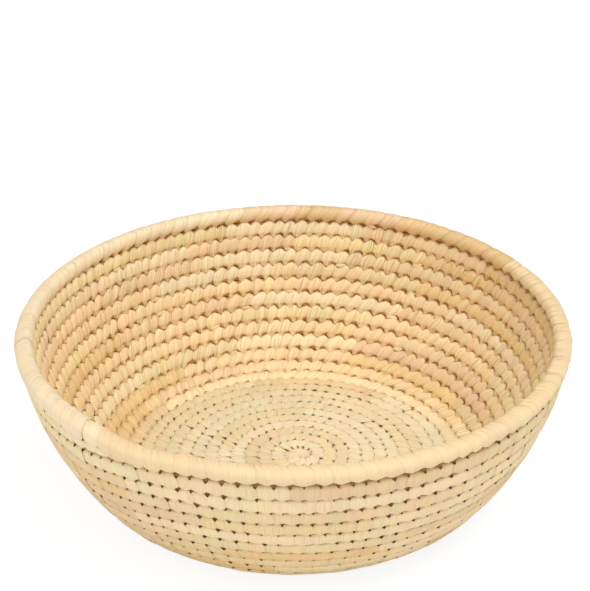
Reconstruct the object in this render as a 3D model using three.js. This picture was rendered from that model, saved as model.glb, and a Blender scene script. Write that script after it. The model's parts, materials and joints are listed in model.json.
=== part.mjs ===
// A round coiled basket: a bundle of grass wound in one spiral from the middle of the base to the rim,
// wrapped all the way with strips of palm leaf. Millimetres, +Z up, origin on the floor under the middle.
import * as THREE from 'three';

// Outline
const overallDiameter = 300;
const overallHeight = 95.5;
const baseDiameter = 176;
const cornerRadius = 31;
const cornerTurn = THREE.MathUtils.degToRad(52);

// Rows. The pitch is measured along the wall, the thickness through it. The base rows are the finer ones.
const rowPitch = 8.9;
const basePitch = 7.3;
const rowGap = 0.45;
const wallThickness = 8.2;
const flatShare = 0.55;

// The start lies a little off the middle of the base
const startOffset = new THREE.Vector2(4.5, 3.5);

// The rim is the last row, wound over a thicker bundle and tapered out on the row below it
const rimHeight = 9;
const rimThickness = 10.4;
const tipHeight = 1.8;
const climbEndAngle = THREE.MathUtils.degToRad(252);
const climbAngle = THREE.MathUtils.degToRad(54);

// Leaf strips round the bundle, which ends a little before the tip of the rim
const leafThickness = 0.6;
const leafClearance = 0.35;
const bundleSetback = 20;
const stripGap = 0.3;
const baseStrips = 12;
const sideStrips = 37;
const rimStrips = 5;

// Strips differ in length: each end is shifted by a share of a strip, which swings with this angle
const shiftShare = 0.3;
const shiftAngle = 2.4;

// Button on which the first turn starts
const knotRadius = 3;
const knotRise = 0.5;
const knotChamfer = 1.2;

// Faceting
const stepsPerTurn = 20;
const climbSteps = Math.round(climbAngle / (2 * Math.PI) * stepsPerTurn);

// Wall outline through the middle of the rows, by its length from the axis:
// a flat base, a round corner and one flatter arc that ends at the middle of the rim
const baseRadius = baseDiameter / 2;
const cornerLength = cornerRadius * cornerTurn;
const sideStart = new THREE.Vector2(
  baseRadius + cornerRadius * Math.sin(cornerTurn),
  cornerRadius * (1 - Math.cos(cornerTurn)),
);
const rimMiddle = new THREE.Vector2(
  (overallDiameter - rimThickness) / 2,
  overallHeight - (rimHeight + wallThickness) / 2,
);
const sideChord = rimMiddle.clone().sub(sideStart);
const sideBend = sideChord.angle() - cornerTurn;
const sinc = (x) => (Math.abs(x) < 1e-6 ? 1 : Math.sin(x) / x);
const sideLength = sideChord.length() / sinc(sideBend);
const rimDistance = baseRadius + cornerLength + sideLength;

// Point of the outline and its slope at a distance from the axis
function outlineAt(distance) {
  if (distance <= baseRadius) return { r: distance, z: 0, slope: 0 };
  if (distance <= baseRadius + cornerLength) {
    const slope = (distance - baseRadius) / cornerRadius;
    const r = baseRadius + cornerRadius * Math.sin(slope);
    return { r, z: cornerRadius * (1 - Math.cos(slope)), slope };
  }
  const run = distance - baseRadius - cornerLength;
  const turn = sideBend * run / sideLength;
  const reach = run * sinc(turn);
  const r = sideStart.x + reach * Math.cos(cornerTurn + turn);
  const z = sideStart.y + reach * Math.sin(cornerTurn + turn);
  return { r, z, slope: cornerTurn + 2 * turn };
}

// The climb of a level row on to the next, within the last part of each turn
function climbAt(step) {
  const part = THREE.MathUtils.euclideanModulo(step, stepsPerTurn) - (stepsPerTurn - climbSteps);
  return THREE.MathUtils.smoothstep(part, 0, climbSteps);
}

// Steps are counted from the end of the climb on to the rim. The first turns are an even spiral, and
// the rows are levelled more and more up to the edge of the base.
const rimSeam = rimDistance - (rimHeight + rowGap) / 2;
const levelStep = ((baseRadius - rimSeam) / rowPitch + 0.5) * stepsPerTurn;
const firstStep = Math.ceil(levelStep - (baseRadius - knotRadius) / basePitch * stepsPerTurn);

// Distance along the outline at a step of an even spiral, with finer rows on the base
function evenSpiral(step) {
  const turns = (step - levelStep) / stepsPerTurn;
  return baseRadius + turns * (turns < 0 ? basePitch : rowPitch);
}

// How many steps the coil runs ahead of an even spiral, so that its rows lie level between the climbs
function levelling(step) {
  const share = Math.min((step - firstStep) / (levelStep - firstStep), 1);
  return share * (stepsPerTurn * (climbAt(step) + 0.5) - THREE.MathUtils.euclideanModulo(step, stepsPerTurn));
}

// The seam between the coil at a step and the row below it, as a distance along the outline. Past the
// full rim it rises to the rim's top, because the rim thins out on the row that climbs under it.
function seamAt(step) {
  if (step >= stepsPerTurn) return rimSeam + rimHeight + rowGap;
  if (step > stepsPerTurn - climbSteps) return rimSeam + (rimHeight + rowGap) * climbAt(step);
  return evenSpiral(step + levelling(step));
}

// The coil grows to the rim's thickness in the climb on to it, and thins out with its height at the end
function halfThicknessAt(step, halfHeight) {
  if (step <= -climbSteps) return wallThickness / 2;
  if (step < 0) return THREE.MathUtils.lerp(wallThickness, rimThickness, climbAt(step)) / 2;
  return rimThickness / 2 * Math.sqrt(halfHeight / (rimHeight / 2));
}

// Every step of the coil, with its distance along the outline and the half sizes of its section
function windCoil() {
  const coil = new Map();
  for (let step = firstStep; step < stepsPerTurn; step += 1) {
    const halfHeight = (seamAt(step + stepsPerTurn) - seamAt(step) - rowGap) / 2;
    if (halfHeight < tipHeight / 2) break;
    const distance = seamAt(step) + rowGap / 2 + halfHeight;
    coil.set(step, { distance, halfHeight, halfThickness: halfThicknessAt(step, halfHeight) });
  }
  return coil;
}

const coil = windCoil();
const lastStep = Math.max(...coil.keys());
const angleAt = (step) => climbEndAngle + step / stepsPerTurn * 2 * Math.PI;

// A place seen from above, by its radius and angle. The base rows are shifted with the start, by less
// the wider they are.
function planAt(radius, angle) {
  const plan = new THREE.Vector2(radius * Math.cos(angle), radius * Math.sin(angle));
  return plan.addScaledVector(startOffset, Math.max(1 - radius / baseRadius, 0));
}

// Six corners of the section at a whole step, drawn in on every side by inset and pressed flat on the floor
function sectionAt(step, inset) {
  const { distance, halfHeight, halfThickness } = coil.get(step);
  const { r, z, slope } = outlineAt(distance);
  const high = halfHeight - inset;
  const thick = halfThickness - inset;
  const corners = [
    [high, 0],
    [high * flatShare, thick],
    [-high * flatShare, thick],
    [-high, 0],
    [-high * flatShare, -thick],
    [high * flatShare, -thick],
  ];
  return corners.map(([along, across]) => {
    const plan = planAt(r + along * Math.cos(slope) - across * Math.sin(slope), angleAt(step));
    const height = z + along * Math.sin(slope) + across * Math.cos(slope) + wallThickness / 2;
    return new THREE.Vector3(plan.x, plan.y, Math.max(height, inset));
  });
}

// The section at a shift in millimetres past a step, on the straight line to the next one
function sectionPast(step, shift, inset) {
  const here = sectionAt(step, inset);
  const next = sectionAt(step + Math.sign(shift), inset);
  return here.map((corner, i) => {
    const line = next[i].clone().sub(corner);
    return corner.clone().addScaledVector(line.normalize(), Math.abs(shift));
  });
}

// Sections from one step to another, each end set back by its own trim
function sectionsBetween(from, to, inset, startTrim, endTrim) {
  const sections = [sectionPast(from, startTrim, inset)];
  for (let step = from + 1; step < to; step += 1) sections.push(sectionAt(step, inset));
  sections.push(sectionPast(to, -endTrim, inset));
  return sections;
}

// Skin between sections, facing out, or in for a bore
function skin(triangles, sections, facingOut) {
  for (let i = 1; i < sections.length; i += 1) {
    const before = sections[i - 1];
    const after = sections[i];
    before.forEach((corner, j) => {
      const k = (j + 1) % before.length;
      const pair = [[corner, after[j], after[k]], [corner, after[k], before[k]]];
      pair.forEach((triangle) => triangles.push(facingOut ? triangle : triangle.reverse()));
    });
  }
}

// Flat end over a section, facing back to the start of the coil or on to its end
function endCap(triangles, section, facingBack) {
  for (let j = 1; j < section.length - 1; j += 1) {
    const triangle = [section[0], section[j], section[j + 1]];
    triangles.push(facingBack ? triangle : triangle.reverse());
  }
}

// Flat ring between the outer and inner section at an open end
function endRing(triangles, outer, inner, facingBack) {
  outer.forEach((corner, j) => {
    const k = (j + 1) % outer.length;
    const pair = [[corner, outer[k], inner[k]], [corner, inner[k], inner[j]]];
    pair.forEach((triangle) => triangles.push(facingBack ? triangle : triangle.reverse()));
  });
}

function solidOf(triangles) {
  const geometry = new THREE.BufferGeometry().setFromPoints(triangles.flat());
  geometry.computeVertexNormals();
  return geometry;
}

// The grass bundle, one unbroken length inside all the strips
const bundleInset = leafThickness + leafClearance;

function bundleGeometry() {
  const sections = sectionsBetween(firstStep, lastStep, bundleInset, rowGap, bundleSetback);
  const triangles = [];
  endCap(triangles, sections[0], true);
  skin(triangles, sections, true);
  endCap(triangles, sections.at(-1), false);
  return solidOf(triangles);
}

// One length of leaf wound round the bundle, open at both ends, or closed over the tip of the rim
function stripGeometry(from, to) {
  const isTip = to === lastStep;
  const startTrim = from === firstStep ? rowGap : stripGap / 2;
  const endTrim = isTip ? 0 : stripGap / 2;
  const outer = sectionsBetween(from, to, 0, startTrim, endTrim);
  const inner = sectionsBetween(from, to, leafThickness, startTrim, isTip ? leafThickness : endTrim);
  const triangles = [];
  endRing(triangles, outer[0], inner[0], true);
  skin(triangles, outer, true);
  skin(triangles, inner, false);
  if (isTip) {
    endCap(triangles, outer.at(-1), false);
    endCap(triangles, inner.at(-1), true);
  } else {
    endRing(triangles, outer.at(-1), inner.at(-1), false);
  }
  return solidOf(triangles);
}

// Chamfered button that grows with the first turn and ends against the blunt start of the coil
function knotGeometry() {
  const outline = [];
  for (let i = 0; i <= stepsPerTurn; i += 1) {
    outline.push(planAt(seamAt(firstStep + i) - rowGap / 2, angleAt(firstStep + i)));
  }
  const geometry = new THREE.ExtrudeGeometry(new THREE.Shape(outline), {
    depth: wallThickness + knotRise - 2 * knotChamfer,
    bevelThickness: knotChamfer,
    bevelSize: knotChamfer,
    bevelOffset: -knotChamfer,
    bevelSegments: 1,
  });
  geometry.translate(0, 0, knotChamfer);
  return geometry;
}

// Length along the middle of the coil up to each step
function runUpTo(limit) {
  let run = 0;
  for (let step = firstStep + 1; step <= limit; step += 1) {
    run += middleAt(step).distanceTo(middleAt(step - 1));
  }
  return run;
}

function middleAt(step) {
  const { r, z } = outlineAt(coil.get(step).distance);
  const plan = planAt(r, angleAt(step));
  return new THREE.Vector3(plan.x, plan.y, z);
}

// Steps at which strips meet: count strips of about the same length between two steps
function stripEnds(from, to, count) {
  const ends = [from];
  const start = runUpTo(from);
  const stripLength = (runUpTo(to) - start) / count;
  let run = start;
  let step = from;
  for (let i = 1; i < count; i += 1) {
    const wanted = start + stripLength * (i + shiftShare * Math.sin(shiftAngle * i));
    while (run < wanted) {
      step += 1;
      run += middleAt(step).distanceTo(middleAt(step - 1));
    }
    ends.push(step);
  }
  ends.push(to);
  return ends;
}

// Least distance between corners of each turn and the next, also half way along the steps
function leastGap(inset) {
  const halfway = (step) => {
    const next = sectionAt(step + 1, inset);
    return sectionAt(step, inset).map((corner, i) => corner.lerp(next[i], 0.5));
  };
  const around = (step) => [...sectionAt(step, inset), ...halfway(step)];
  let least = Infinity;
  for (let step = firstStep; step < lastStep - stepsPerTurn; step += 1) {
    const nextTurn = [-1, 0, 1].map((shift) => step + stepsPerTurn + shift)
      .filter((other) => other < lastStep)
      .flatMap(around);
    for (const corner of around(step)) {
      for (const other of nextTurn) least = Math.min(least, corner.distanceTo(other));
    }
  }
  return least;
}

const leafMaterial = (color) => new THREE.MeshStandardMaterial({ color, roughness: 0.7, metalness: 0 });
const leafTones = {
  straw: leafMaterial('#e6cb94'),
  cream: leafMaterial('#efdfb6'),
  pink: leafMaterial('#e0bc92'),
  ochre: leafMaterial('#d9b877'),
  green: leafMaterial('#d6c898'),
};
const toneOrder = ['straw', 'cream', 'pink', 'straw', 'cream', 'ochre', 'straw', 'green', 'cream', 'pink'];
const grassMaterial = new THREE.MeshStandardMaterial({ color: '#b98f55', roughness: 0.9, metalness: 0 });

const basket = new THREE.Group();

function addPiece(name, geometry, material) {
  const piece = new THREE.Mesh(geometry, material);
  piece.name = name;
  basket.add(piece);
}

function addStrips(prefix, from, to, count) {
  const ends = stripEnds(from, to, count);
  for (let i = 1; i < ends.length; i += 1) {
    const tone = toneOrder[i % toneOrder.length];
    addPiece(`${prefix}_${String(i).padStart(2, '0')}`, stripGeometry(ends[i - 1], ends[i]), leafTones[tone]);
  }
}

const isFlat = (step) => coil.get(step).distance <= baseRadius;
const baseEnd = Math.max(...[...coil.keys()].filter(isFlat));
const rimStart = -climbSteps;

addPiece('foundation_coil', bundleGeometry(), grassMaterial);
addPiece('start_knot', knotGeometry(), leafTones.straw);
addStrips('base_strip', firstStep, baseEnd, baseStrips);
addStrips('side_strip', baseEnd, rimStart, sideStrips);
addStrips('rim_strip', rimStart, lastStep, rimStrips);

const turns = (lastStep - firstStep) / stepsPerTurn;
console.log(`coil of ${turns.toFixed(2)} turns, ${(runUpTo(lastStep) / 1000).toFixed(2)} m long`);
console.log(`least gap of the grass bundle to itself ${leastGap(bundleInset).toFixed(2)} mm`);
console.log(`least gap of the leaf rows to each other ${leastGap(0).toFixed(2)} mm`);

export default basket;
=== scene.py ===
"""A round basket of palm leaf, coiled in one spiral, with every stitch of its wrapping modelled."""

import json
import logging
import math
import random
from bisect import bisect_left
from dataclasses import dataclass, field
from enum import Enum
from typing import Iterator

import bmesh
import bpy
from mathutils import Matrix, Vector


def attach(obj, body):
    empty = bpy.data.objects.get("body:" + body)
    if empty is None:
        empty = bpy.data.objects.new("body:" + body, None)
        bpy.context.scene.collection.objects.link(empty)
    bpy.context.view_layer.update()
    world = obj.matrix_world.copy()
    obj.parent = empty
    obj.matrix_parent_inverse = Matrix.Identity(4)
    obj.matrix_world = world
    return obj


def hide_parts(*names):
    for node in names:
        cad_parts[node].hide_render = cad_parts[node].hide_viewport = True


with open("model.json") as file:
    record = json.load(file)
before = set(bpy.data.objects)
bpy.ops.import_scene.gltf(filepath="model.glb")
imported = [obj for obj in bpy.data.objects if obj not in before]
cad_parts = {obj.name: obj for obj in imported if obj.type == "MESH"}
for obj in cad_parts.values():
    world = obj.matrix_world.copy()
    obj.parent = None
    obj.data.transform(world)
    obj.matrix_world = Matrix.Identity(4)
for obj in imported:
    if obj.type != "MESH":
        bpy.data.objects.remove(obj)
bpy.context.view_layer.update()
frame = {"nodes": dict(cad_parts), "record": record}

LOG = logging.getLogger("basket")
MM = 0.001
BODY = "root"
# From this share of the rim's shape on, a stitch is sewn and coloured as the rim's.
ON_RIM = 0.5
# The cosines of the turn round a row between which the basket's outside becomes its inside.
SIDE_CHANGE = (-0.4, 0.4)

Colour = tuple[float, float, float]
# Where a change starts and where it ends.
Span = tuple[float, float]
Socket = bpy.types.NodeSocket


def linear(hex_colour: str) -> Colour:
    """Turns a screen colour into the shader's linear values.

    Args:
        hex_colour: the colour as "#rrggbb".

    Returns:
        Its linear red, green and blue.
    """
    parts = [int(hex_colour[i:i + 2], 16) / 255 for i in (1, 3, 5)]
    return tuple(v / 12.92 if v <= 0.04045 else ((v + 0.055) / 1.055) ** 2.4 for v in parts)


def clamp(value: float, low: float = 0.0, high: float = 1.0) -> float:
    """Holds a value between two limits."""
    return max(low, min(high, value))


def ease(value: float, start: float = 0.0, end: float = 1.0) -> float:
    """Rises smoothly from 0 at start to 1 at end."""
    part = clamp((value - start) / (end - start))
    return part * part * (3 - 2 * part)


def power(value: float, exponent: float) -> float:
    """Raises a signed value to a power and keeps its sign."""
    return math.copysign(abs(value) ** exponent, value)


def between(first: float, second: float, share: float) -> float:
    """Goes from the first value to the second by a share."""
    return first + (second - first) * share


def spread(dice: random.Random, reach: float) -> float:
    """Draws a number up to reach away from 0, either way."""
    return reach * dice.uniform(-1, 1)


def mesh_from(bm: bmesh.types.BMesh, name: str) -> bpy.types.Mesh:
    """Writes a finished bmesh to a new mesh and frees it.

    Args:
        bm: the bmesh, which isn't used again.
        name: the new mesh's name.

    Returns:
        The mesh.
    """
    mesh = bpy.data.meshes.new(name)
    bm.to_mesh(mesh)
    bm.free()
    return mesh


def add_object(name: str, data: bpy.types.ID) -> bpy.types.Object:
    """Puts a new object in the scene.

    Args:
        name: its name.
        data: its mesh, lamp or camera.

    Returns:
        The object.
    """
    made = bpy.data.objects.new(name, data)
    bpy.context.scene.collection.objects.link(made)
    return made


class Tone(Enum):
    """Leaf tones, by the slot that the record names for them."""

    STRAW = "leaf_straw"
    CREAM = "leaf_cream"
    PINK = "leaf_pink"
    OCHRE = "leaf_ochre"
    GREEN = "leaf_green"


TONE_COLOURS: dict[Tone, Colour] = {
    Tone.STRAW: linear("#f0d7a9"),
    Tone.CREAM: linear("#f4e1bb"),
    Tone.PINK: linear("#eccea6"),
    Tone.OCHRE: linear("#e6c590"),
    Tone.GREEN: linear("#eed9ae"),
}
# How much of each tone there is, in the order of Tone.
BASE_SHARES: tuple[float, ...] = (0.48, 0.38, 0.07, 0.03, 0.04)
SIDE_SHARES: tuple[float, ...] = (0.34, 0.18, 0.22, 0.18, 0.08)
# The rim's strips: the angle in degrees where each ends, and its tone.
RIM_RUNS: tuple[tuple[float, Tone], ...] = (
    (230, Tone.CREAM),
    (392, Tone.STRAW),
    (425, Tone.OCHRE),
    (438, Tone.PINK),
    (449, Tone.OCHRE),
    (461, Tone.PINK),
    (520, Tone.CREAM),
)


@dataclass(frozen=True)
class Row:
    """The coil at one place: how far along the wall outline it lies, and its half sizes."""

    distance: float
    half_height: float
    half_thickness: float


@dataclass
class CoilShape:
    """The spiral that the rows follow, from the middle of the base to the rim.

    A place on it is a step, counted in twentieths of a turn from the end of the climb on to the rim.
    """

    overall_diameter: float = 300 * MM
    overall_height: float = 95.5 * MM
    base_radius: float = 88 * MM
    corner_radius: float = 31 * MM
    corner_turn: float = math.radians(52)
    row_pitch: float = 8.9 * MM
    base_pitch: float = 7.3 * MM
    row_gap: float = 0.45 * MM
    wall_thickness: float = 8.2 * MM
    start_offset: tuple[float, float] = (4.5 * MM, 3.5 * MM)
    knot_radius: float = 3 * MM
    rim_height: float = 9 * MM
    rim_thickness: float = 10.4 * MM
    tip_height: float = 1.8 * MM
    least_half_height: float = 0.1 * MM
    climb_end_angle: float = math.radians(252)
    climb_steps: int = 3
    climb_delay: float = 1.1
    steps_per_turn: int = 20
    rim_swelling: Span = (-1.2, 0.2)
    close_step: float = 19.5
    drawing_down: Span = (18.6, 19.6)
    strip_unevenness: float = 0.3
    strip_swing: float = 2.4

    def __post_init__(self) -> None:
        """Works out where the coil starts and ends, and its length up to each step."""
        self.corner_length = self.corner_radius * self.corner_turn
        self.side_start = (
            self.base_radius + self.corner_radius * math.sin(self.corner_turn),
            self.corner_radius * (1 - math.cos(self.corner_turn)),
        )
        rise = self.overall_height - (self.rim_height + self.wall_thickness) / 2 - self.side_start[1]
        reach = (self.overall_diameter - self.rim_thickness) / 2 - self.side_start[0]
        self.side_bend = math.atan2(rise, reach) - self.corner_turn
        self.side_length = math.hypot(rise, reach) * self.side_bend / math.sin(self.side_bend)
        self.rim_distance = self.base_radius + self.corner_length + self.side_length
        self.rim_seam = self.rim_distance - (self.rim_height + self.row_gap) / 2
        turn = self.steps_per_turn
        self.level_step = ((self.base_radius - self.rim_seam) / self.row_pitch + 0.5) * turn
        base_turns = (self.base_radius - self.knot_radius) / self.base_pitch
        self.first_step = math.ceil(self.level_step - base_turns * turn)
        self.last_step = max(s for s in range(turn) if self.row(s).half_height >= self.tip_height / 2)
        self.runs = [0.0]
        for step in range(self.first_step + 1, self.last_step + 1):
            self.runs.append(self.runs[-1] + (self.middle(step) - self.middle(step - 1)).length)

    def outline(self, distance: float) -> tuple[float, float, float]:
        """Finds a place on the wall outline.

        Args:
            distance: length along the outline from the middle of the base.

        Returns:
            The radius, the height over the base rows and the slope there.
        """
        if distance <= self.base_radius:
            return distance, 0.0, 0.0
        if distance <= self.base_radius + self.corner_length:
            slope = (distance - self.base_radius) / self.corner_radius
            radius = self.base_radius + self.corner_radius * math.sin(slope)
            return radius, self.corner_radius * (1 - math.cos(slope)), slope
        run = distance - self.base_radius - self.corner_length
        turn = self.side_bend * run / self.side_length
        reach = run * math.sin(turn) / turn if abs(turn) > 1e-9 else run
        radius = self.side_start[0] + reach * math.cos(self.corner_turn + turn)
        height = self.side_start[1] + reach * math.sin(self.corner_turn + turn)
        return radius, height, self.corner_turn + 2 * turn

    def climb(self, step: float) -> float:
        """Gives how far a level row has climbed on to the next, from 0 to 1."""
        part = step % self.steps_per_turn - (self.steps_per_turn - self.climb_steps)
        return ease(part, self.climb_delay, self.climb_steps)

    def seam(self, step: float) -> float:
        """Finds the joint between the coil and the row below it.

        The first turns are an even spiral, and the rows are levelled more and more up to the edge of
        the base. Past the full rim the joint rises to the rim's top.

        Args:
            step: the place on the coil.

        Returns:
            The joint's distance along the outline.
        """
        turn = self.steps_per_turn
        if step > turn - self.climb_steps:
            climbed = 1.0 if step >= turn else self.climb(step)
            return self.rim_seam + (self.rim_height + self.row_gap) * climbed
        share = min((step - self.first_step) / (self.level_step - self.first_step), 1.0)
        ahead = share * (turn * (self.climb(step) + 0.5) - step % turn)
        turns = (step + ahead - self.level_step) / turn
        return self.base_radius + turns * (self.base_pitch if turns < 0 else self.row_pitch)

    def row(self, step: float) -> Row:
        """Finds the coil's place on the outline and its section.

        Args:
            step: the place on the coil, whole or not.

        Returns:
            The section of the coil itself, without the leaf.
        """
        bottom = self.seam(step)
        height = self.seam(step + self.steps_per_turn) - bottom - self.row_gap
        half_height = max(height / 2, self.least_half_height)
        thickness = self.wall_thickness
        if step > -self.climb_steps:
            thickness = between(thickness, self.rim_thickness, self.climb(step) if step < 0 else 1.0)
        if step > self.steps_per_turn - self.climb_steps:
            thickness *= math.sqrt(half_height / (self.rim_height / 2))
        return Row(bottom + self.row_gap / 2 + half_height, half_height, thickness / 2)

    def angle(self, step: float) -> float:
        """Gives the angle of a step about the basket's axis."""
        return self.climb_end_angle + step / self.steps_per_turn * math.tau

    def plan(self, radius: float, step: float) -> tuple[float, float]:
        """Finds a place seen from above, where the base rows are shifted with the start.

        Args:
            radius: distance from the middle of its row's ring.
            step: the place on the coil.

        Returns:
            Its x and y.
        """
        shift = max(1 - radius / self.base_radius, 0.0)
        turn = self.angle(step)
        x = radius * math.cos(turn) + shift * self.start_offset[0]
        return x, radius * math.sin(turn) + shift * self.start_offset[1]

    def middle(self, step: float) -> Vector:
        """Gives the middle of the coil at a step, over the level of the base rows."""
        radius, height, _ = self.outline(self.row(step).distance)
        return Vector((*self.plan(radius, step), height))

    def wrapped(self, step: float) -> Row:
        """Finds the section that the leaf goes round.

        Past the full rim the leaf closes over the coil's thinning end and the row under it together,
        so that the rim keeps its size all the way round. The last stitches are drawn down to that row.

        Args:
            step: the place on the coil.

        Returns:
            The section inside the leaf.
        """
        if step > self.steps_per_turn - self.climb_steps:
            under = self.row(step - self.steps_per_turn)
            drawn = ease(step, *self.drawing_down)
            distance = between(self.rim_distance, under.distance, drawn)
            return Row(distance, self.rim_height / 2, self.rim_thickness / 2)
        row = self.row(step)
        if step <= -self.climb_steps:
            return row
        swollen = ease(step, *self.rim_swelling)
        half_thickness = between(self.wall_thickness / 2, row.half_thickness, swollen)
        return Row(row.distance, row.half_height, half_thickness)

    def place(self, row: Row, step: float, along: float, inward: float) -> Vector:
        """Finds a point by its place in a row's section.

        Args:
            row: the row at that step.
            step: the place on the coil.
            along: distance from the middle of the row towards the next row.
            inward: distance from the middle of the row towards the inside of the basket.

        Returns:
            The point, no lower than the floor.
        """
        radius, height, slope = self.outline(row.distance)
        radius += along * math.cos(slope) - inward * math.sin(slope)
        height += along * math.sin(slope) + inward * math.cos(slope) + self.wall_thickness / 2
        return Vector((*self.plan(radius, step), max(height, 0.0)))

    def step_length(self, step: float) -> float:
        """Gives the length of coil in the step that holds a place."""
        i = int(clamp(math.floor(step) - self.first_step, 0, len(self.runs) - 2))
        return self.runs[i + 1] - self.runs[i]

    def strip_ends(self, start: int, end: int, count: int) -> list[int]:
        """Divides a stretch of the coil among strips of about the same length.

        Args:
            start: first step of the stretch.
            end: last step of the stretch.
            count: number of strips.

        Returns:
            The steps where the strips meet, both ends included.
        """
        begin = self.runs[start - self.first_step]
        length = (self.runs[end - self.first_step] - begin) / count
        shares = [i + self.strip_unevenness * math.sin(self.strip_swing * i) for i in range(1, count)]
        inner = [self.first_step + bisect_left(self.runs, begin + length * share) for share in shares]
        return [start, *inner, end]


@dataclass
class Stitch:
    """One turn of leaf round the bundle, with its foot tucked between two stitches of the row below.

    Attributes:
        step: its place on the coil.
        width: the width of its leaf.
        foot: how far its foot is pulled along the coil.
        slope: how far it leans for its height.
        crown: how strongly its edges fall away, about 1.
        lift: how far it stands out of the row.
        waist: how much its foot narrows, about 1.
        bulge: how round it stands on the rim, 1 or more.
        rim: 1 on the rim and 0 on the wall.
        flat: 1 on the base and 0 on the wall.
        spoke: 1 on the first turn, whose feet meet in the middle.
        closing: 1 where the rim closes over the coil's end.
        seed: chooses the leaf's pattern.
    """

    step: float
    width: float
    foot: float
    slope: float
    crown: float
    lift: float
    waist: float
    bulge: float
    rim: float
    flat: float
    spoke: float
    closing: float
    seed: float

    def less(self, flat: float = 0.0, rim: float = 0.0) -> float:
        """Gives a factor that is smaller by these shares on the base and on the rim."""
        return (1 - flat * self.flat) * (1 - rim * self.rim)


@dataclass
class Valleys:
    """The places between the stitches sewn so far, where the feet of the next row go."""

    turn: int
    steps: list[float] = field(default_factory=list)
    last: int = -1

    def under(self, target: float) -> float | None:
        """Chooses the valley for a stitch's foot, or the next stitch's middle where it is taken.

        Args:
            target: the step where the foot would lie by itself.

        Returns:
            The step for the foot, or None where there is no row below.
        """
        i = bisect_left(self.steps, target - self.turn)
        if not 0 < i < len(self.steps):
            return None
        nearest = min((i - 1, i), key=lambda k: abs(self.steps[k] + self.turn - target))
        valley = self.steps[nearest]
        if nearest == self.last and nearest + 1 < len(self.steps):
            valley = (valley + self.steps[nearest + 1]) / 2
        self.last = nearest
        return valley + self.turn


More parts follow.
